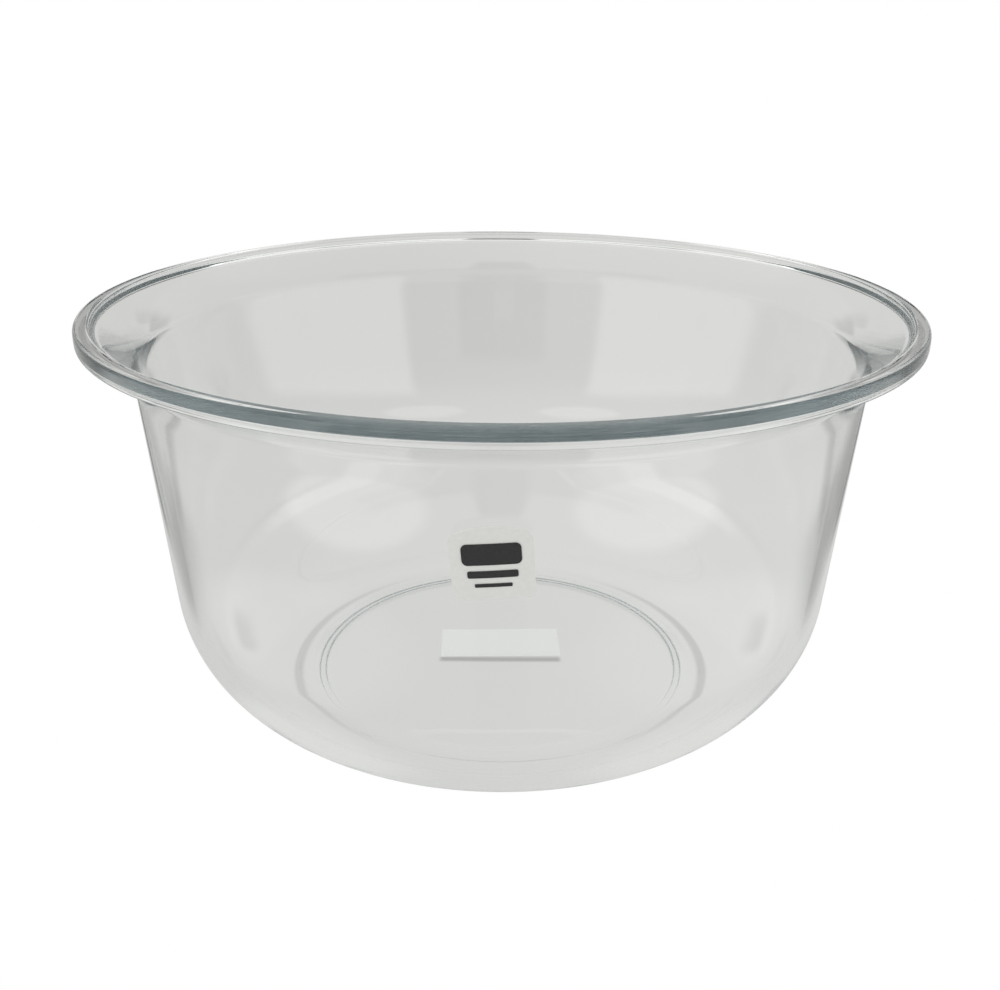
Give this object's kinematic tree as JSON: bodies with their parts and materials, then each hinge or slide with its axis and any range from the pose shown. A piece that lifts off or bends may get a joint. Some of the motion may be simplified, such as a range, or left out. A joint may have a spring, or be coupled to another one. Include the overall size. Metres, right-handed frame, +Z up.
{
  "type": "serving bowl",
  "caption": "Round clear glass serving bowl with steep sides, a rounded bottom, a flared lip and a thick rim bead.",
  "frame": {"origin": "centre of the foot ring, on the surface that the bowl stands on", "axes": "+Z up along the bowl's axis of revolution, -Y towards the front label, +X to the right seen from the front"},
  "size_m": [0.24, 0.24, 0.1223],
  "materials": {
    "glass": "clear fire-polished pressed glass",
    "label_film": "satin pale film label",
    "ink": "flat black print",
    "sticker_paper": "blank white uncoated paper"
  },
  "bodies": {
    "root": {"glass_bowl": "glass", "front_label": "label_film", "label_print_band": "ink", "label_print_rule_1": "ink", "label_print_rule_2": "ink", "base_sticker": "sticker_paper"}
  },
  "joints": []
}
